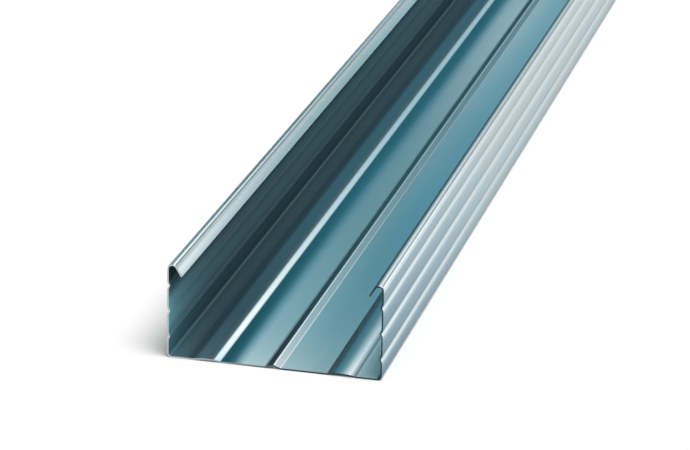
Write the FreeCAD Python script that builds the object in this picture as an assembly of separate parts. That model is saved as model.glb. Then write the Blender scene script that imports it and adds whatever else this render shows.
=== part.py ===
import FreeCAD, Part

import os
from math import atan, atan2, cos, hypot, radians, sin, sqrt, tan

from FreeCAD import Vector

# Ceiling furring channel: one zinc-coated steel strip, roll-formed to a C with in-turned lips.
# It lies on its web with the open side up. X runs across the web, Y along the stock and Z up.
# The origin is under the middle of the web, half way along the stock. Sizes are in millimetres.

# Overall sizes
STOCK_LENGTH = 3000.0
WEB_WIDTH = 60.0          # across the outer faces of the two flanges
FLANGE_HEIGHT = 27.0      # from the underside of the web to the top of the lips
SHEET_THICKNESS = 0.5

# Inside radii of the bends
CORNER_BEND = 0.8         # web to flange
LIP_BEND = 0.55           # both bends of the lip
CREASE_BEND = 0.4         # feet and crests of the beads and the rib
GROOVE_BEND = 0.25        # edges and bottoms of the grooves

# Lip at the top of each flange: a narrow shoulder, then a leg that leans in and down
SHOULDER_FLAT = 0.2       # straight run between the two bends
LIP_LEG = 3.95            # from the turn of the shoulder to the cut edge, along the outer face
LIP_LEAN = 33.0           # degrees between the leg and the vertical

# V-shaped grooves pressed into each flange from outside
GROOVE_COUNT = 3
GROOVE_PITCH = 7.35
GROOVE_WIDTH = 2.0
GROOVE_DEPTH = 0.42

# Low bead along each side of the web, pressed up from below: a steep flank towards the middle
# of the web and a broad arched crown towards the flange
BEAD_INSET = 11.2         # from the flange's outer face to the middle of the bead
BEAD_WIDTH = 7.8
BEAD_FLANK = 1.85         # width of the flank
BEAD_HEIGHT = 0.28        # at the top of the flank
CROWN_BULGE = 0.2         # of the crown's arc over its chord

# V-shaped rib along the middle of the web, pressed up from below
RIB_WIDTH = 3.9
RIB_HEIGHT = 0.8

HALF_SHEET = SHEET_THICKNESS / 2
SAME_POINT = 1e-6

# The section is drawn along the middle of the sheet, so each bend radius below is the inside one
# and half a sheet more.


def vee(width, height, bend):
    """Corners (along, rise, bend radius) of a V-shaped fold that is `height` tall once it is rounded."""
    reach = width**2 - 4 * height * (2 * bend - height)
    half_slope = 2 * height / (width + sqrt(reach))
    crest = width / 2 * tan(2 * atan(half_slope))
    return [(-width / 2, 0, bend), (0, crest, bend), (width / 2, 0, bend)]


def bead():
    """Corners (along, rise, bend radius) of a bead, from the foot of its flank to the foot of its crown."""
    bend = CREASE_BEND + HALF_SHEET
    run = BEAD_WIDTH - BEAD_FLANK
    chord = hypot(run, BEAD_HEIGHT)
    dip = atan2(BEAD_HEIGHT, run)                    # fall of the crown's chord
    half_turn = 2 * atan(2 * CROWN_BULGE / chord)    # between the chord and the crown's ends
    reach = chord / 2 / cos(half_turn)               # from each end to where the ends' lines meet
    meet_along = BEAD_FLANK + reach * cos(half_turn - dip)
    meet_rise = BEAD_HEIGHT + reach * sin(half_turn - dip)
    crest_turn = abs(atan2(BEAD_HEIGHT, BEAD_FLANK) - half_turn + dip)
    widest_turn = max(crest_turn, half_turn + dip)
    crown = (reach - bend * tan(widest_turn / 2)) / tan(half_turn)
    return [(0, 0, bend), (BEAD_FLANK, BEAD_HEIGHT, bend), (meet_along, meet_rise, crown), (BEAD_WIDTH, 0, bend)]


def rib():
    """Corners of the rib along the middle of the web."""
    return vee(RIB_WIDTH, RIB_HEIGHT, CREASE_BEND + HALF_SHEET)


def lip(wall, top):
    """Corners (x, z, bend radius) of the lip's shoulder and of its leg down to the cut edge."""
    bend = LIP_BEND + HALF_SHEET
    turn = radians(90 - LIP_LEAN)
    shoulder = SHOULDER_FLAT + bend + bend * tan(turn / 2)
    leg = LIP_LEG - HALF_SHEET * tan(turn / 2)
    tip_x = wall - shoulder - leg * cos(turn)
    tip_z = top - leg * sin(turn)
    return [(wall, top, bend), (wall - shoulder, top, bend), (tip_x, tip_z, 0)]


def half_section():
    """Corners (x, z, bend radius) from the foot of the middle rib to the edge of the right-hand lip."""
    wall = WEB_WIDTH / 2 - HALF_SHEET
    bead_start = WEB_WIDTH / 2 - BEAD_INSET - BEAD_WIDTH / 2
    rib_foot = rib()[-1]

    corners = [(rib_foot[0], HALF_SHEET, rib_foot[2])]
    for along, rise, bend in bead():
        corners.append((bead_start + along, HALF_SHEET + rise, bend))
    corners.append((wall, HALF_SHEET, CORNER_BEND + HALF_SHEET))
    for number in range(GROOVE_COUNT):
        groove_middle = FLANGE_HEIGHT / 2 + (number - (GROOVE_COUNT - 1) / 2) * GROOVE_PITCH
        for along, rise, bend in vee(GROOVE_WIDTH, GROOVE_DEPTH, GROOVE_BEND + HALF_SHEET):
            corners.append((wall - rise, groove_middle + along, bend))
    return corners + lip(wall, FLANGE_HEIGHT - HALF_SHEET)


def bent_line(corners):
    """Wire of straight runs joined by tangent arcs, one arc at each inner corner."""
    points = [Vector(x, -STOCK_LENGTH / 2, z) for x, z, bend in corners]
    edges = []
    run_start = points[0]
    for index in range(1, len(points) - 1):
        corner = points[index]
        radius = corners[index][2]
        incoming = (corner - points[index - 1]).normalize()
        outgoing = (points[index + 1] - corner).normalize()
        half_turn = incoming.getAngle(outgoing) / 2
        bend_start = corner - incoming * radius * tan(half_turn)
        bend_end = corner + outgoing * radius * tan(half_turn)
        inward = (outgoing - incoming).normalize()
        bend_middle = corner + inward * radius * (1 / cos(half_turn) - 1)
        if not run_start.isEqual(bend_start, SAME_POINT):
            edges.append(Part.makeLine(run_start, bend_start))
        edges.append(Part.Arc(bend_start, bend_middle, bend_end).toShape())
        run_start = bend_end
    edges.append(Part.makeLine(run_start, points[-1]))
    return Part.Wire(edges)


def furring_channel():
    """The strip's bent middle line, thickened to the sheet and run along the stock's length."""
    right = half_section()
    left = [(-x, z, bend) for x, z, bend in reversed(right)]
    rib_crest = rib()[1]
    middle_line = bent_line(left + [(0, HALF_SHEET + rib_crest[1], rib_crest[2])] + right)
    outer_line = middle_line.makeOffset2D(HALF_SHEET, openResult=True)
    section = outer_line.makeOffset2D(-SHEET_THICKNESS, fill=True, openResult=True)
    return section.extrude(Vector(0, STOCK_LENGTH, 0))


os.makedirs("parts", exist_ok=True)
channel = furring_channel()
channel.exportStep("parts/furring_channel.step")
print("furring_channel", channel.ShapeType, channel.isValid(), channel.BoundBox, channel.Volume)
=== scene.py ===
import math

import bpy
import numpy as np
from mathutils import Matrix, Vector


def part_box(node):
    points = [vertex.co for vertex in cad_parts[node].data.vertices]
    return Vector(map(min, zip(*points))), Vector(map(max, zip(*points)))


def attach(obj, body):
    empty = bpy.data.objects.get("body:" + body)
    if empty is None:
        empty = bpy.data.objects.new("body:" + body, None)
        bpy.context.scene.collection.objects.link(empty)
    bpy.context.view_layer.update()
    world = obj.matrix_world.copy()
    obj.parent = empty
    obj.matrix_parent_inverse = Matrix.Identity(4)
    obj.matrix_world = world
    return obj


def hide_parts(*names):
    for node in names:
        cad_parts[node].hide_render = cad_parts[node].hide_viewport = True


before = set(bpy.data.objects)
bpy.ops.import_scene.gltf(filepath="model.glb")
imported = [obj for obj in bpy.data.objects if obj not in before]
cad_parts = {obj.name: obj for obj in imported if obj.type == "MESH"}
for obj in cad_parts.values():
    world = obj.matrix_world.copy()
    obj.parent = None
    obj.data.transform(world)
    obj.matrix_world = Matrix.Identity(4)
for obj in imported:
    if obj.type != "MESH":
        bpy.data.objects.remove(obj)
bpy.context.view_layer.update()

mm = 0.001


# sRGB hex to the linear values that shaders take
def linear(hexColour):
    parts = [int(hexColour[i:i + 2], 16) / 255 for i in (1, 3, 5)]
    return tuple(p / 12.92 if p <= 0.04045 else ((p + 0.055) / 1.055) ** 2.4 for p in parts)


def emptyTree(owner):
    owner.use_nodes = True
    owner.node_tree.nodes.clear()
    return owner.node_tree


# a node with its settings, its inputs as values or links, and the stops of its colour ramp
def addNode(tree, kind, inputs=None, stops=None, **settings):
    made = tree.nodes.new(kind)
    for name, value in settings.items():
        setattr(made, name, value)
    for socket, value in (inputs or {}).items():
        if isinstance(value, bpy.types.NodeSocket):
            tree.links.new(value, made.inputs[socket])
        else:
            made.inputs[socket].default_value = value
    if stops:
        ramp = made.color_ramp
        while len(ramp.elements) < len(stops):
            ramp.elements.new(1.0)
        for element, (place, colour) in zip(ramp.elements, stops):
            element.position = place
            element.color = (*colour, 1.0)
    return made


def newObject(name, data):
    made = bpy.data.objects.new(name, data)
    bpy.context.scene.collection.objects.link(made)
    return made


# values at the strip's points that the zinc's shader reads: polish that is partly a painted highlight, grime
# that is partly painted shade, the blue film that stays, partly painted shade, the film that fades out
# towards the ends, zinc dust, and scuffs
markNames = ("rubAndHighlight", "grimeAndShade", "filmAndShade", "oil", "dust", "scuff")

# roll-formed strip, sizes in mm; width, height and length come from the frame
channelStrip = {
    "sheet": 0.5,
    "cornerBend": 0.8,        # inside radius, web to flange
    "creaseBend": 0.4,        # inside radius, beads and rib
    "grooveBend": 0.25,       # inside radius, flange grooves
    # the lip is a little rounder than the solid's
    "lipBend": 0.8,           # inside radius, both bends
    "shoulderFlat": 0.3,      # straight run between the two bends
    "lipLeg": 3.75,           # from the turn of the shoulder to the cut edge, along the outer face
    "lipLean": 31.0,          # degrees off the vertical
    "grooveCount": 3,
    "groovePitch": 7.35,
    "grooveWidth": 2.0,
    "grooveDepth": 0.42,
    "beadInset": 11.2,        # from the flange's outer face to the middle of the bead
    "beadWidth": 7.8,
    "beadFlank": 1.85,        # width of the steep side, towards the middle of the web
    "beadHeight": 0.28,       # at the top of the flank
    "crownBulge": 0.2,        # of the crown's arc over its chord
    "ribWidth": 3.9,
    "ribHeight": 0.8,
    "arcStep": 5.0,           # degrees of bend between two points
    "arcLeast": 2,            # steps in the slightest bend
    "runCrowd": 6.0,          # points on a flat: this many times the root of its mm, closer by the bends
    "samePoint": 1e-6,        # points closer than this are one
    "lengthStep": 100.0,      # mm of stock between two rings
    "edgeRound": 0.08,        # roll-over that the slitter and the shear leave on the edges
    "edgeSteps": 3,
    "edgeMarks": {"rubAndHighlight": 0.6, "scuff": 0.5},      # on the slit edges; the rub there is partly a painted highlight
    # what the rolls and handling leave at each kind of bend, with painted highlights from rub and painted
    # shade from grime and film: face, mm towards the lip, mm to each side, mark and how much; a kind with
    # left or right before it is on that half of the strip only
    "rollMarks": {
        # painted highlight on the rib's crest
        "ribCrest": [("inner", 0.0, 0.35, "rubAndHighlight", 0.6), ("outer", 0.0, 0.8, "rubAndHighlight", 0.4)],
        "left ribFoot": [("inner", -1.0, 1.2, "oil", 0.9), ("inner", 0.2, 0.5, "grimeAndShade", 0.5)],
        "right ribFoot": [("inner", 0.0, 0.25, "rubAndHighlight", 0.6), ("inner", 9.5, 9.5, "oil", 0.68)],
        "beadFoot": [("inner", -1.5, 4.0, "filmAndShade", 0.2)],
        # painted shade: the film beside the left bead stands in for the dark flange mirrored in the web
        "left beadFoot": [("inner", -1.5, 5.2, "filmAndShade", 1.0)],
        "right beadFoot": [("inner", -1.0, 8.0, "grimeAndShade", 0.06)],
        # painted highlight: the white flank of the left bead
        "left beadCrest": [("inner", -0.95, 1.3, "rubAndHighlight", 0.7)],
        # painted shade: the dark flank of the right bead
        "right beadCrest": [("inner", 0.9, 2.1, "filmAndShade", 1.0), ("inner", 0.4, 1.6, "grimeAndShade", 0.4)],
        "beadCrown": [("inner", 0.0, 3.2, "dust", 0.12)],
        "left beadCrown": [("inner", 0.0, 3.4, "filmAndShade", 0.35), ("inner", 0.5, 4.0, "oil", 0.7),
                           ("inner", 0.5, 4.0, "dust", 0.22)],
        # painted shade and highlight: a dark line at each bead's toe with a pale line beside it
        "beadToe": [("inner", 0.0, 0.24, "grimeAndShade", 0.25), ("inner", 0.55, 0.2, "rubAndHighlight", 0.5)],
        "right beadToe": [("inner", 0.0, 0.3, "grimeAndShade", 0.8)],
        # painted shade in the corners, painted highlight on their outer bends
        "corner": [("inner", 0.0, 0.3, "rubAndHighlight", 0.3), ("inner", 2.5, 8.6, "dust", 1.0),
                   ("inner", 1.0, 8.0, "grimeAndShade", 0.45), ("outer", 0.0, 1.2, "rubAndHighlight", 0.5),
                   ("outer", 0.5, 1.1, "grimeAndShade", 0.45), ("outer", 2.5, 4.0, "grimeAndShade", 0.12)],
        "left corner": [("inner", 1.0, 8.0, "grimeAndShade", 0.65)],
        "right corner": [("inner", -0.2, 1.4, "grimeAndShade", 0.85)],
        # painted highlight on the grooves' lower flanks, painted shade above them
        "groove": [("inner", 0.9, 0.4, "rubAndHighlight", 0.2), ("outer", -0.7, 0.9, "rubAndHighlight", 1.0),
                   ("outer", -1.2, 2.0, "rubAndHighlight", 0.28), ("outer", 1.4, 1.0, "grimeAndShade", 0.2)],
        # painted highlight along the lips' tops, painted shade under the lips
        "lipTurn": [("outer", -0.1, 1.9, "rubAndHighlight", 1.0), ("outer", -4.0, 6.0, "rubAndHighlight", 0.15),
                    ("inner", -14.5, 12.0, "dust", 1.0), ("inner", -3.0, 7.5, "grimeAndShade", 0.95)],
        "left lipTurn": [("outer", 0.0, 0.5, "grimeAndShade", 0.35), ("outer", 0.2, 0.8, "scuff", 0.55)],
        "right lipTurn": [("outer", 0.3, 0.9, "scuff", 1.0)],
        "lipFold": [("inner", 0.0, 4.0, "grimeAndShade", 0.95)],
        "left lipFold": [("outer", 0.0, 1.1, "rubAndHighlight", 0.7), ("outer", 1.2, 3.2, "rubAndHighlight", 0.5),
                         ("outer", 0.45, 0.9, "scuff", 0.9)],
        "right lipFold": [("outer", 0.3, 1.4, "filmAndShade", 1.0), ("outer", 0.0, 1.1, "grimeAndShade", 0.6)],
    },
}


# corners of a fold: mm along, mm of rise, bend radius and kind of bend
def veeFold(width, height, bend, foot, crest):
    halfSlope = 2 * height / (width + math.sqrt(width ** 2 - 4 * height * (2 * bend - height)))
    rise = width / 2 * math.tan(2 * math.atan(halfSlope))
    return [(-width / 2, 0, bend, foot), (0, rise, bend, crest), (width / 2, 0, bend, foot)]


def beadFold(strip, bend):
    flank, height = strip["beadFlank"], strip["beadHeight"]
    chord = math.hypot(strip["beadWidth"] - flank, height)
    dip = math.asin(height / chord)                                 # fall of the crown's chord
    halfTurn = 2 * math.atan(2 * strip["crownBulge"] / chord)       # between the chord and the crown's ends
    reach = chord / 2 / math.cos(halfTurn)                          # from each end to where their lines meet
    widestTurn = max(abs(math.atan2(height, flank) - halfTurn + dip), halfTurn + dip)
    crown = (reach - bend * math.tan(widestTurn / 2)) / math.tan(halfTurn)
    meet = flank + reach * math.cos(halfTurn - dip), height + reach * math.sin(halfTurn - dip)
    return [(0, 0, bend, "beadFoot"), (flank, height, bend, "beadCrest"), (*meet, crown, "beadCrown"),
            (strip["beadWidth"], 0, bend, "beadToe")]


# corners of the sheet's middle line: x, z, bend radius, kind of bend and the way to its own lip
def stripCorners(strip, width, height):
    level = strip["sheet"] / 2
    wall = width / 2 - level
    top = height - level
    crease = strip["creaseBend"] + level
    rib = veeFold(strip["ribWidth"], strip["ribHeight"], crease, "ribFoot", "ribCrest")
    right = [(rib[2][0], level, crease, "ribFoot", 1)]
    start = width / 2 - strip["beadInset"] - strip["beadWidth"] / 2
    bead = beadFold(strip, crease)
    right += [(start + along, level + rise, bend, kind, 1) for along, rise, bend, kind in bead]
    right.append((wall, level, strip["cornerBend"] + level, "corner", 1))
    bend = strip["grooveBend"] + level
    groove = veeFold(strip["grooveWidth"], strip["grooveDepth"], bend, "grooveEdge", "groove")
    for number in range(strip["grooveCount"]):
        middle = height / 2 + (number - (strip["grooveCount"] - 1) / 2) * strip["groovePitch"]
        right += [(wall - rise, middle + along, bend, kind, 1) for along, rise, bend, kind in groove]
    bend = strip["lipBend"] + level
    turn = math.radians(90 - strip["lipLean"])
    fold = wall - strip["shoulderFlat"] - bend - bend * math.tan(turn / 2)
    leg = strip["lipLeg"] - level * math.tan(turn / 2)
    right += [(wall, top, bend, "lipTurn", 1), (fold, top, bend, "lipFold", 1)]
    right.append((fold - leg * math.cos(turn), top - leg * math.sin(turn), 0, "lipEdge", 1))
    left = [(-x, z, bend, kind, -1) for x, z, bend, kind, way in reversed(right)]
    return left + [(0, level + rib[1][1], crease, "ribCrest", 1)] + right


def heading(start, end):
    return (end - start) / np.linalg.norm(end - start)


# a quarter turn to the left of a heading: up from the web, inwards from the flanges
def leftOf(way):
    return np.array((-way[1], way[0]))


# points along the bent middle line: place, side normal and distance along the strip; and the bends on it
def middleLine(strip, corners):
    places = np.array([corner[:2] for corner in corners])
    points, normals, bends = [], [], []

    def addRun(start, end, normal):
        span = np.linalg.norm(end - start)
        steps = max(1, round(strip["runCrowd"] * math.sqrt(span)))
        for k in range(1, steps):
            points.append(start + (end - start) * (1 - math.cos(math.pi * k / steps)) / 2)
            normals.append(normal)

    runStart = places[0]
    points.append(runStart)
    normals.append(leftOf(heading(places[0], places[1])))
    for before, corner, after, (_, _, radius, kind, way) in zip(places, places[1:], places[2:], corners[1:]):
        incoming = heading(before, corner)
        outgoing = heading(corner, after)
        turn = math.atan2(incoming[0] * outgoing[1] - incoming[1] * outgoing[0], incoming @ outgoing)
        reach = radius * math.tan(abs(turn) / 2)
        normal = leftOf(incoming)
        bendStart = corner - incoming * reach
        addRun(runStart, bendStart, normal)
        toCentre = math.copysign(radius, turn)
        centre = bendStart + normal * toCentre
        steps = max(strip["arcLeast"], math.ceil(abs(math.degrees(turn)) / strip["arcStep"]))
        first = len(points)
        for k in range(steps + 1):
            angle = turn * k / steps
            spun = normal * math.cos(angle) + leftOf(normal) * math.sin(angle)
            place = centre - spun * toCentre
            if np.linalg.norm(place - points[-1]) > strip["samePoint"]:
                points.append(place)
                normals.append(spun)
        bends.append((kind, way, first, len(points) - 1))
        runStart = corner + outgoing * reach
    addRun(runStart, places[-1], normals[-1])
    points.append(places[-1])
    normals.append(normals[-1])
    points, normals = np.array(points), np.array(normals)
    across = np.r_[0, np.cumsum(np.linalg.norm(np.diff(points, axis=0), axis=1))]
    bends = [(kind, way, (across[first] + across[last]) / 2) for kind, way, first, last in bends]
    return points, normals, across, bends


# how much of one mark lies on one face at each point: strongest in its middle, none at its reach
def rollMark(strip, bends, across, face, what):
    amount = np.zeros(len(across))
    for kind, way, middle in bends:
        half = "left " if way < 0 else "right "
        marks = strip["rollMarks"].get(kind, []) + strip["rollMarks"].get(half + kind, [])
        for side, shift, reach, mark, level in marks:
            if (side, mark) == (face, what):
                away = np.abs(across - middle - way * shift) / reach
                amount = np.maximum(amount, level * np.clip(1 - away ** 2, 0, 1))
    return amount


# closed outline of the strip's section with its slit edges rounded over: places, facing and point values
def stripOutline(strip, width, height):
    points, normals, across, bends = middleLine(strip, stripCorners(strip, width, height))
    half = strip["sheet"] / 2
    rounding = strip["edgeRound"]
    turns = np.linspace(0, math.pi / 2, strip["edgeSteps"] + 1)

    def roundedEdge(end, way):
        corner = []
        for side, sweep in ((1, turns), (-1, turns[::-1])):
            core = points[end] + normals[end] * side * (half - rounding) - way * rounding
            for t in sweep:
                face = normals[end] * side * math.cos(t) + way * math.sin(t)
                corner.append((core + face * rounding, face))
        return corner

    ahead = -leftOf(normals[-1])
    behind = leftOf(normals[0])
    clear = (across > 2 * rounding) & (across < across[-1] - 2 * rounding)
    upper = [(p + n * half, n) for p, n in zip(points[clear], normals[clear])]
    lower = [(p - n * half, -n) for p, n in zip(points[clear], normals[clear])]
    tip = roundedEdge(-1, ahead)
    tail = roundedEdge(0, behind)[::-1]

    def around(upperValues, tipValue, lowerValues, tailValue):
        return np.r_[upperValues[clear], np.full(len(tip), tipValue),
                     lowerValues[clear][::-1], np.full(len(tail), tailValue)]

    layers = {"acrossStrip": around(across, across[-1], across, 0.0) * mm,
              "stripSide": around(np.zeros(len(across)), 0.0, np.ones(len(across)), 1.0)}
    for mark in markNames:
        rim = strip["edgeMarks"].get(mark, 0.0)
        inner = rollMark(strip, bends, across, "inner", mark)
        outer = rollMark(strip, bends, across, "outer", mark)
        layers[mark] = around(inner, rim, outer, rim)
    places, facing = [np.array(part) for part in zip(*(upper + tip + lower[::-1] + tail))]
    return places, facing, layers, len(upper), len(tip)


# the outline in rings along the stock, closed at both ends; the end faces have the second material
def channelMesh(strip, low, high):
    width, length, height = [(b - a) / mm for a, b in zip(low, high)]
    outline, facing, layers, faceCount, edgeCount = stripOutline(strip, width, height)
    rounding = strip["edgeRound"]
    turns = np.linspace(0, math.pi / 2, strip["edgeSteps"] + 1)
    # rings along the stock: distance along, inset, how far the face has turned to the end, and which end
    near = [(rounding * (1 - math.cos(t)), rounding * (1 - math.sin(t)), math.pi / 2 - t) for t in turns]
    plain = np.linspace(rounding, length - rounding, round(length / strip["lengthStep"]) + 1)[1:-1]
    rings = [(along, inset, turn, -1) for along, inset, turn in near]
    rings += [(along, 0, 0, 0) for along in plain]
    rings += [(length - along, inset, turn, 1) for along, inset, turn in reversed(near)]
    count = len(outline)
    places, normals = [], []
    for along, inset, turn, end in rings:
        ring = outline - facing * inset
        places.append(np.c_[ring[:, 0], np.full(count, along - length / 2), ring[:, 1]])
        normals.append(np.c_[facing[:, 0] * math.cos(turn), np.full(count, end * math.sin(turn)),
                             facing[:, 1] * math.cos(turn)])
    places = np.concatenate(places) * mm
    normals = np.concatenate(normals)
    here = np.arange(count)
    beside = np.roll(here, -1)
    band = np.c_[here, beside, beside + count, here + count]
    quads = np.concatenate([band + r * count for r in range(len(rings) - 1)])
    # end faces: a ladder of quads from the upper to the lower side, and one face at each slit edge
    tailStart = 2 * faceCount + edgeCount
    rungs = [(k, tailStart - 1 - k) for k in range(faceCount)]
    caps = [(a, b, d, c) for (a, c), (b, d) in zip(rungs, rungs[1:])]
    caps.append(tuple(range(faceCount - 1, faceCount + edgeCount + 1)))
    caps.append((*range(tailStart - 1, count), 0))
    farRing = (len(rings) - 1) * count
    ends = [cap[::-1] for cap in caps]
    ends += [tuple(corner + farRing for corner in cap) for cap in caps]
    mesh = bpy.data.meshes.new("furringStrip")
    mesh.from_pydata(places.tolist(), [], quads.tolist() + ends)
    mesh.polygons.foreach_set("use_smooth", [True] * len(mesh.polygons))
    mesh.polygons.foreach_set("material_index", [0] * len(quads) + [1] * len(ends))
    for name, values in layers.items():
        layer = mesh.attributes.new(name, "FLOAT", "POINT")
        layer.data.foreach_set("value", np.tile(values, len(rings)).astype(np.float32))
    mesh.validate()
    mesh.normals_split_custom_set_from_vertices(normals.tolist())
    return mesh


# zinc colours as they show on the strip, painted light and shade among them
galvanisedSteel = {
    "zinc": "#82abbc",
    "zincPale": "#92b6c4",
    "zincDeep": "#72a0b2",
    "polishedHighlight": "#d0dfe5",      # where the rolls have polished it, and painted highlight along crests, lips and groove flanks
    "paintedHighlightEnd": "#eafafe",   # painted highlight: the polish paler still on the outside towards the ends
    "grimeAndShade": "#2c4650",       # oil and zinc dust caught in the creases, and painted shade in creases, corners, hollows and dark lines
    "filmAndShade": "#3f9eb9",        # blue oil film that the rolls leave beside the beads, and painted shade beside the left bead, on the right bead's flank and on the right lip
    "filmAndShadeEnd": "#36899f",     # the same film and painted shade towards the ends, where it has gathered
    "filmCover": 0.25,        # share of the metal that the film hides
    "oilFade": 2.0,           # power that draws the fading of the film in towards the ends
    "dusted": "#5f7c84",      # zinc dust and oil that stay on the inside of the flanges
    "dustCover": 0.55,        # share of the metal that the dust hides
    "paintedLitZinc": "#a8bcc4",     # painted light: paler inside towards the open ends
    "paintedLitDust": "#80c2d2",     # the dust there, painted lighter too
    "paintedLitFade": 8.0,           # power that draws the painted light in towards the ends
    "paintedLitDull": 0.55,          # share of the polish that the painted light takes away
    "endShade": "#457f95",     # painted shade: darker on the outside towards the ends
    "endReach": 150.0,        # mm from each end over which all of these change
    "grazing": "#edebe7",     # share of the light that is left at a glancing view
    "grazingEndShade": "#dee3e6",  # painted shade: less glancing light on the outside towards the ends
    "grazingGrimeAndShade": "#c4cbce",    # and where there is grime or painted shade
    "roughness": 0.15,
    "rubbedRoughness": 0.09,
    "worn": 0.25,             # added where it is soiled or scuffed
    "grain": 0.05,            # spread of the roughness
    "spangle": 2.2,           # mm across one zinc crystal
    "spangleTone": 0.14,      # spread of tone from crystal to crystal
    "streakWidth": 0.35,      # mm across a roll streak
    "streakLength": 260.0,    # mm
    "streakTone": 0.5,        # spread of tone from streak to streak
    "sideShift": 7.0,         # steps of the streak pattern between the two faces, so that they differ
    "mottle": 90.0,           # mm across a patch of the oil film
    "mottleRange": (0.3, 0.7),    # most of the noise lies between these
    "mottleTone": (0.32, 0.68),   # and gives these tones
    "bump": 0.03,
    "bumpDepth": 0.02,        # mm
}


# hot-dip galvanised strip, skin-passed and roll-formed: a soft blue-grey mirror that smears along the
# rolling direction, with faint crystals and bends that the rolls have polished;
# highlights and shade are also painted into its colour along the bends, creases and ends
def galvanisedFinish(finish, length):
    material = bpy.data.materials.new("hotDipGalvanisedSteel")
    tree = emptyTree(material)
    tones = {name: (*linear(value), 1.0) for name, value in finish.items() if isinstance(value, str)}
    marks = {}
    for name in ("acrossStrip", "stripSide", *markNames):
        marks[name] = addNode(tree, "ShaderNodeAttribute", attribute_name=name).outputs["Fac"]
    place = addNode(tree, "ShaderNodeTexCoord")
    along = addNode(tree, "ShaderNodeSeparateXYZ", {"Vector": place.outputs["Object"]})
    strip = addNode(tree, "ShaderNodeCombineXYZ", {
        "X": marks["acrossStrip"], "Y": along.outputs["Y"], "Z": marks["stripSide"]})
    streakScale = 1 / (finish["streakWidth"] * mm), 1 / (finish["streakLength"] * mm), finish["sideShift"]
    streakSpace = addNode(tree, "ShaderNodeVectorMath", {
        0: strip.outputs[0], 1: streakScale}, operation="MULTIPLY")
    streaks = addNode(tree, "ShaderNodeTexNoise", {
        "Vector": streakSpace.outputs[0], "Scale": 1.0, "Detail": 3.0, "Roughness": 0.6})
    crystals = addNode(tree, "ShaderNodeTexVoronoi", {
        "Vector": strip.outputs[0], "Scale": 1 / (finish["spangle"] * mm), "Randomness": 1.0})
    crystalTone = addNode(tree, "ShaderNodeSeparateColor", {"Color": crystals.outputs["Color"]})
    mottle = addNode(tree, "ShaderNodeTexNoise", {
        "Vector": strip.outputs[0], "Scale": 1 / (finish["mottle"] * mm), "Detail": 4.0, "Roughness": 0.55})
    # tone: patches of the oil film first, then crystals and streaks at a low level
    patches = addNode(tree, "ShaderNodeMapRange", {
        "Value": mottle.outputs["Fac"],
        "From Min": finish["mottleRange"][0], "From Max": finish["mottleRange"][1],
        "To Min": finish["mottleTone"][0], "To Max": finish["mottleTone"][1]})
    crystalShare = addNode(tree, "ShaderNodeMath", {
        0: crystalTone.outputs["Red"], 1: finish["spangleTone"], 2: -finish["spangleTone"] / 2},
        operation="MULTIPLY_ADD")
    streakShare = addNode(tree, "ShaderNodeMath", {
        0: streaks.outputs["Fac"], 1: finish["streakTone"], 2: -finish["streakTone"] / 2},
        operation="MULTIPLY_ADD")
    fineTone = addNode(tree, "ShaderNodeMath", {0: crystalShare.outputs[0], 1: streakShare.outputs[0]})
    tone = addNode(tree, "ShaderNodeMath", {0: patches.outputs[0], 1: fineTone.outputs[0]}, use_clamp=True)
    zinc = addNode(tree, "ShaderNodeValToRGB", {"Fac": tone.outputs[0]}, stops=[
        (0.0, linear(finish["zincDeep"])), (0.5, linear(finish["zinc"])), (1.0, linear(finish["zincPale"]))])
    # towards the ends: painted light inside, painted shade outside, and the fading film gone
    fromMiddle = addNode(tree, "ShaderNodeMath", {0: along.outputs["Y"]}, operation="ABSOLUTE")
    ending = addNode(tree, "ShaderNodeMapRange", {
        "Value": fromMiddle.outputs[0], "From Min": length / 2 - finish["endReach"] * mm,
        "From Max": length / 2})
    # painted light: paler inside towards the open ends
    paintedLightCurve = addNode(tree, "ShaderNodeMath", {0: ending.outputs[0], 1: finish["paintedLitFade"]}, operation="POWER")
    inside = addNode(tree, "ShaderNodeMath", {0: 1.0, 1: marks["stripSide"]}, operation="SUBTRACT")
    paintedInsideLight = addNode(tree, "ShaderNodeMath", {0: paintedLightCurve.outputs[0], 1: inside.outputs[0]}, operation="MULTIPLY")
    # painted shade and painted highlight: this mask darkens the outside and pales its polish towards the
    # ends
    outsideEndShading = addNode(tree, "ShaderNodeMath", {
        0: ending.outputs[0], 1: marks["stripSide"]}, operation="MULTIPLY")
    endFade = addNode(tree, "ShaderNodeMath", {0: ending.outputs[0], 1: finish["oilFade"]}, operation="POWER")
    awayFromEnds = addNode(tree, "ShaderNodeMath", {0: 1.0, 1: endFade.outputs[0]}, operation="SUBTRACT")
    oil = addNode(tree, "ShaderNodeMath", {0: awayFromEnds.outputs[0], 1: marks["oil"]}, operation="MULTIPLY")
    blue = addNode(tree, "ShaderNodeMath", {0: marks["filmAndShade"], 1: oil.outputs[0]}, operation="MAXIMUM")
    # colour: zinc, its painted light and shade at the ends, then film with painted shade, dust, polish with
    # painted highlight and grime with painted shade over it
    colour = addNode(tree, "ShaderNodeMix", {
        "Factor": outsideEndShading.outputs[0], 6: zinc.outputs["Color"], 7: tones["endShade"]}, data_type="RGBA")
    colour = addNode(tree, "ShaderNodeMix", {
        "Factor": paintedInsideLight.outputs[0], 6: colour.outputs[2], 7: tones["paintedLitZinc"]}, data_type="RGBA")
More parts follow.
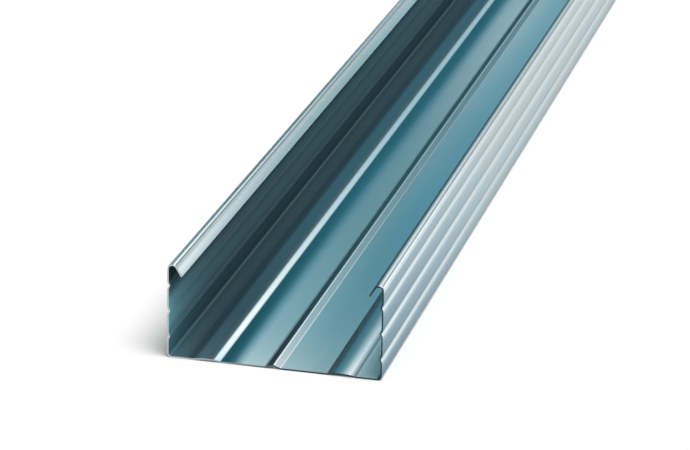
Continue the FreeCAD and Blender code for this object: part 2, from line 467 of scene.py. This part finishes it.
    # painted shade and reflection: the film mark darkens the web beside the left bead, where it mirrors the
    # dark flange
    filmAndShadeTone = addNode(tree, "ShaderNodeMix", {
        "Factor": ending.outputs[0], 6: tones["filmAndShade"], 7: tones["filmAndShadeEnd"]}, data_type="RGBA")
    colour = addNode(tree, "ShaderNodeMix", {
        "Factor": blue.outputs[0], 6: colour.outputs[2], 7: filmAndShadeTone.outputs[2]}, data_type="RGBA")
    dustTone = addNode(tree, "ShaderNodeMix", {
        "Factor": paintedInsideLight.outputs[0], 6: tones["dusted"], 7: tones["paintedLitDust"]}, data_type="RGBA")
    colour = addNode(tree, "ShaderNodeMix", {
        "Factor": marks["dust"], 6: colour.outputs[2], 7: dustTone.outputs[2]}, data_type="RGBA")
    # painted highlight: the rub mark lays a pale colour along crests, lips and the grooves' lower flanks
    polishAndHighlight = addNode(tree, "ShaderNodeMix", {
        "Factor": outsideEndShading.outputs[0], 6: tones["polishedHighlight"], 7: tones["paintedHighlightEnd"]}, data_type="RGBA")
    undulled = addNode(tree, "ShaderNodeMath", {
        0: paintedInsideLight.outputs[0], 1: -finish["paintedLitDull"], 2: 1.0}, operation="MULTIPLY_ADD")
    shine = addNode(tree, "ShaderNodeMath", {0: undulled.outputs[0], 1: marks["rubAndHighlight"]}, operation="MULTIPLY")
    colour = addNode(tree, "ShaderNodeMix", {
        "Factor": shine.outputs[0], 6: colour.outputs[2], 7: polishAndHighlight.outputs[2]}, data_type="RGBA")
    # painted shade: the grime mark darkens creases, corners, the hollows under the lips and the bead toes
    colour = addNode(tree, "ShaderNodeMix", {
        "Factor": marks["grimeAndShade"], 6: colour.outputs[2], 7: tones["grimeAndShade"]}, data_type="RGBA")
    gloss = addNode(tree, "ShaderNodeMapRange", {
        "Value": shine.outputs[0], "To Min": finish["roughness"], "To Max": finish["rubbedRoughness"]})
    rough = addNode(tree, "ShaderNodeMath", {
        0: fineTone.outputs[0], 1: finish["grain"], 2: gloss.outputs[0]}, operation="MULTIPLY_ADD")
    worn = addNode(tree, "ShaderNodeMath", {0: marks["grimeAndShade"], 1: marks["scuff"]}, use_clamp=True)
    dull = addNode(tree, "ShaderNodeMath", {
        0: worn.outputs[0], 1: finish["worn"], 2: rough.outputs[0]}, operation="MULTIPLY_ADD")
    relief = addNode(tree, "ShaderNodeBump", {
        "Strength": finish["bump"], "Distance": finish["bumpDepth"] * mm, "Height": fineTone.outputs[0]})
    undusted = addNode(tree, "ShaderNodeMath", {
        0: marks["dust"], 1: -finish["dustCover"], 2: 1.0}, operation="MULTIPLY_ADD")
    bare = addNode(tree, "ShaderNodeMath", {
        0: blue.outputs[0], 1: -finish["filmCover"], 2: undusted.outputs[0]}, operation="MULTIPLY_ADD")
    glance = addNode(tree, "ShaderNodeMix", {
        "Factor": outsideEndShading.outputs[0], 6: tones["grazing"], 7: tones["grazingEndShade"]}, data_type="RGBA")
    # painted shade: less glancing light where the grime mark lies
    glance = addNode(tree, "ShaderNodeMix", {
        "Factor": marks["grimeAndShade"], 6: glance.outputs[2], 7: tones["grazingGrimeAndShade"]}, data_type="RGBA")
    metal = addNode(tree, "ShaderNodeBsdfPrincipled", {
        "Base Color": colour.outputs[2], "Metallic": bare.outputs[0], "Roughness": dull.outputs[0],
        "Specular IOR Level": 0.0, "Specular Tint": glance.outputs[2], "Normal": relief.outputs[0]})
    addNode(tree, "ShaderNodeOutputMaterial", {"Surface": metal.outputs[0]})
    return material


shearedSteel = {
    "paintedLitEdge": "#c8cccb",     # painted light: the pale tone at the left of the end faces
    "bare": "#2c3536",        # painted shade: the dark tone towards the right of the end faces
    "paintedLightEnd": 0.08,          # where the painted light runs out, in widths from the middle
    "allShaded": 0.05,          # share of painted light below which only the dark tone shows
    "allLit": 0.85,       # and above which only the pale tone does
    "roughness": 0.42,
    "scoreWidth": 0.12,       # mm between the blade's score lines
    "scoreTone": 0.5,         # spread of the share of painted light from line to line
    "scoreDull": 0.3,         # share of that spread in the roughness
    "bump": 0.2,
    "bumpDepth": 0.02,        # mm
}


# sheared mild steel, dull, with painted light and shade: pale at the left of the end faces and dark towards
# the right, broken up by the score lines
def shearedFinish(finish, width):
    material = bpy.data.materials.new("shearedSteelEdge")
    tree = emptyTree(material)
    place = addNode(tree, "ShaderNodeTexCoord")
    spot = addNode(tree, "ShaderNodeSeparateXYZ", {"Vector": place.outputs["Object"]})
    # painted light and shade: pale at the left of the width, fading to dark a little right of the middle
    paintedSideLight = addNode(tree, "ShaderNodeMapRange", {
        "Value": spot.outputs["X"], "From Min": -width / 2, "From Max": width * finish["paintedLightEnd"],
        "To Min": 1.0, "To Max": 0.0})
    score = addNode(tree, "ShaderNodeTexNoise", {
        "Vector": place.outputs["Object"], "Scale": 1 / (finish["scoreWidth"] * mm), "Detail": 2.0})
    ragged = addNode(tree, "ShaderNodeMath", {
        0: score.outputs["Fac"], 1: finish["scoreTone"], 2: -finish["scoreTone"] / 2},
        operation="MULTIPLY_ADD")
    share = addNode(tree, "ShaderNodeMath", {0: paintedSideLight.outputs[0], 1: ragged.outputs[0]}, use_clamp=True)
    colour = addNode(tree, "ShaderNodeValToRGB", {"Fac": share.outputs[0]}, stops=[
        (finish["allShaded"], linear(finish["bare"])), (finish["allLit"], linear(finish["paintedLitEdge"]))])
    dull = addNode(tree, "ShaderNodeMath", {
        0: ragged.outputs[0], 1: finish["scoreDull"], 2: finish["roughness"]}, operation="MULTIPLY_ADD")
    relief = addNode(tree, "ShaderNodeBump", {
        "Strength": finish["bump"], "Distance": finish["bumpDepth"] * mm, "Height": score.outputs["Fac"]})
    metal = addNode(tree, "ShaderNodeBsdfPrincipled", {
        "Base Color": colour.outputs["Color"], "Metallic": 1.0, "Roughness": dull.outputs[0],
        "Normal": relief.outputs[0]})
    addNode(tree, "ShaderNodeOutputMaterial", {"Surface": metal.outputs[0]})
    return material


paperFloor = {
    "colour": "#f5f4f4",
    "lift": 0.08,             # strength of a glow of its own
    "roughness": 0.9,
    "size": 240.0,            # metres
    "gap": 0.02,              # mm under the strip
}


# seamless paper: matt white, lifted a little so that it stays white up to the object's shadow
def floorFinish(paper):
    material = bpy.data.materials.new("seamlessPaper")
    tree = emptyTree(material)
    rays = addNode(tree, "ShaderNodeLightPath")
    seen = addNode(tree, "ShaderNodeMath", {
        0: rays.outputs["Is Camera Ray"], 1: rays.outputs["Is Glossy Ray"]}, operation="MAXIMUM")
    seen = addNode(tree, "ShaderNodeMath", {
        0: seen.outputs[0], 1: rays.outputs["Is Transmission Ray"]}, operation="MAXIMUM")
    lift = addNode(tree, "ShaderNodeMath", {0: seen.outputs[0], 1: paper["lift"]}, operation="MULTIPLY")
    sheet = addNode(tree, "ShaderNodeBsdfPrincipled", {
        "Base Color": (*linear(paper["colour"]), 1.0), "Roughness": paper["roughness"],
        "Specular IOR Level": 0.0, "Emission Color": (1.0, 1.0, 1.0, 1.0),
        "Emission Strength": lift.outputs[0]})
    addNode(tree, "ShaderNodeOutputMaterial", {"Surface": sheet.outputs[0]})
    return material


def buildFloor(paper):
    mesh = bpy.data.meshes.new("paperFloor")
    half = paper["size"] / 2
    level = -paper["gap"] * mm
    corners = [(-half, -half, level), (half, -half, level), (half, half, level), (-half, half, level)]
    mesh.from_pydata(corners, [], [(0, 1, 2, 3)])
    mesh.materials.append(floorFinish(paper))
    floor = newObject("paperFloor", mesh)


# tent of soft light: bright overhead and low on the right, dark walls half way down on both sides, a narrow
# bright strip on the left, and pale windows beyond the far end
studioTent = {
    # degrees across the stock from straight up, colour, strength
    "across": [
        (-180, "#c4d0d4", 0.30),
        (-91, "#e4f4ff", 0.60),
        (-64, "#d4f0ff", 0.40),
        (-54, "#b4ebff", 0.05),
        (-47, "#b8e4ff", 0.02),
        (-41, "#bceeff", 0.18),
        (-37, "#c0f3ff", 0.34),
        (-34.5, "#f4fcff", 0.84),
        (-32.8, "#f2fffd", 1.50),
        (-30.7, "#c4f6f6", 0.80),
        (-28.5, "#acf2f4", 0.49),
        (-25, "#d4fcff", 0.72),
        (-21, "#fffcf6", 1.10),
        (-17, "#fff8f2", 1.80),
        (-13, "#fff6f2", 1.85),
        (-8, "#fff6f0", 1.70),
        (8, "#fffaf2", 1.25),
        (16, "#fffcf4", 1.18),
        (21, "#f4fbff", 0.50),
        (26, "#dceef6", 0.13),
        (40, "#dceef6", 0.10),
        (48, "#f4fbff", 0.30),
        (56, "#fff6f0", 1.08),
        (92, "#fff6ee", 1.52),
        (180, "#c4d0d4", 0.30),
    ],
    # degrees from the far end of the stock's axis, colour, strength
    "along": [
        (0, "#d4f4ff", 0.58),
        (18.5, "#d4f4ff", 0.58),
        (19.7, "#caf0ff", 0.54),
        (21, "#c8f2ff", 0.56),
        (22.5, "#d8f8ff", 0.64),
        (23.5, "#e6f8ff", 0.71),
        (24.3, "#f4faff", 0.84),
        (25.2, "#fffcfa", 1.0),
        (25.9, "#fff4f6", 1.26),
        (27, "#ffeeec", 2.03),
        (28.5, "#fff4f0", 2.12),
        (32, "#ffffff", 1.20),
        (42, "#ffffff", 0.60),
        (60, "#ffffff", 0.42),
        (180, "#ffffff", 0.42),
    ],
    "top": 3.0,               # brightest strength, the ramps are shares of it
    # pale windows beyond the far end, on both sides: the same two angles
    "windowAcross": [
        (-95, "#ffffff", 0.0),
        (-88, "#ffffff", 0.6),
        (-42, "#ffffff", 1.35),
        (-33, "#ffffff", 1.42),
        (-30.5, "#ffffff", 0.6),
        (-22, "#ffffff", 0.0),
        (22, "#ffffff", 0.0),
        (28, "#b8e4ff", 1.0),
        (50, "#b8e4ff", 1.0),
        (60, "#e8f4ff", 0.4),
        (74, "#ffffff", 0.6),
        (92, "#ffffff", 0.6),
        (96, "#ffffff", 0.0),
    ],
    "windowAlong": [
        (0, "#fff4ee", 0.8),
        (18, "#fff4ee", 0.74),
        (19.7, "#fcffff", 0.36),
        (20.7, "#f4ffff", 0.2),
        (22.4, "#ffffff", 0.0),
    ],
}


def buildTent(tent):
    world = bpy.data.worlds.new("studioTent")
    tree = emptyTree(world)
    place = addNode(tree, "ShaderNodeTexCoord")
    way = addNode(tree, "ShaderNodeSeparateXYZ", {"Vector": place.outputs["Generated"]})
    lean = addNode(tree, "ShaderNodeMath", {0: way.outputs["X"], 1: way.outputs["Z"]}, operation="ARCTAN2")
    leanShare = addNode(tree, "ShaderNodeMapRange", {
        "Value": lean.outputs[0], "From Min": -math.pi, "From Max": math.pi})
    reach = addNode(tree, "ShaderNodeMath", {0: way.outputs["Y"]}, operation="ARCCOSINE")
    reachShare = addNode(tree, "ShaderNodeMapRange", {"Value": reach.outputs[0], "From Max": math.pi})
    ramps = {}
    for name, share, least, span in (("across", leanShare, -180, 360), ("along", reachShare, 0, 180),
                                     ("windowAcross", leanShare, -180, 360),
                                     ("windowAlong", reachShare, 0, 180)):
        stops = []
        for angle, colour, strength in tent[name]:
            lit = tuple(c * strength / tent["top"] for c in linear(colour))
            stops.append(((angle - least) / span, lit))
        ramp = addNode(tree, "ShaderNodeValToRGB", {"Fac": share.outputs[0]}, stops=stops)
        ramps[name] = ramp.outputs["Color"]
    tentLight = addNode(tree, "ShaderNodeVectorMath", {
        0: ramps["across"], 1: ramps["along"]}, operation="MULTIPLY")
    shares = addNode(tree, "ShaderNodeVectorMath", {
        0: ramps["windowAcross"], 1: ramps["windowAlong"], 2: tentLight.outputs[0]},
        operation="MULTIPLY_ADD")
    sky = addNode(tree, "ShaderNodeVectorMath", {
        0: shares.outputs[0], "Scale": tent["top"] ** 2}, operation="SCALE")
    back = addNode(tree, "ShaderNodeBackground", {"Color": sky.outputs[0], "Strength": 1.0})
    addNode(tree, "ShaderNodeOutputWorld", {"Surface": back.outputs[0]})
    bpy.context.scene.world = world


keyLight = {
    "strength": 2.4,
    "angle": 36.0,            # degrees across, so its shadow is soft
    "azimuth": 60.0,          # degrees round to the right of the near end
    "elevation": 68.0,
}


def buildKey(key):
    lamp = bpy.data.lights.new("keyLight", "SUN")
    lamp.energy = key["strength"]
    lamp.angle = math.radians(key["angle"])
    light = newObject("keyLight", lamp)
    light.rotation_euler = (math.radians(90 - key["elevation"]), 0, math.radians(key["azimuth"]))


studioCamera = {
    "position": (196.239, -755.814, 317.289),   # mm, from the middle of the near end, at floor level
    "yaw": 13.2042,           # degrees
    "pitch": 19.4454,
    "roll": 1.3076,
    "focal": 3118.07,         # pixels
    "frameWidth": 690,        # pixels
    "sensor": 36.0,           # mm
}


def buildCamera(shot, nearEnd):
    yaw, pitch, roll = [math.radians(shot[name]) for name in ("yaw", "pitch", "roll")]
    lens = bpy.data.cameras.new("studioCamera")
    lens.sensor_width = shot["sensor"]
    lens.lens = shot["focal"] / shot["frameWidth"] * shot["sensor"]
    camera = newObject("studioCamera", lens)
    x, y, z = [v * mm for v in shot["position"]]
    turn = Matrix.Rotation(yaw, 4, "Z") @ Matrix.Rotation(math.pi / 2 - pitch, 4, "X")
    camera.matrix_world = Matrix.Translation((x, nearEnd + y, z)) @ turn @ Matrix.Rotation(roll, 4, "Z")
    bpy.context.scene.camera = camera


low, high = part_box("furring_channel")
strip = newObject("furringStrip", channelMesh(channelStrip, low, high))
strip.data.materials.append(galvanisedFinish(galvanisedSteel, high.y - low.y))
strip.data.materials.append(shearedFinish(shearedSteel, high.x - low.x))
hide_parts("furring_channel")
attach(strip, "root")
print("strip:", len(strip.data.vertices), "points,", len(strip.data.polygons), "faces")

buildFloor(paperFloor)
buildTent(studioTent)
buildKey(keyLight)
buildCamera(studioCamera, low.y)
bpy.context.scene.view_settings.view_transform = "Standard"
print("studio: floor, tent, key light and camera in place")
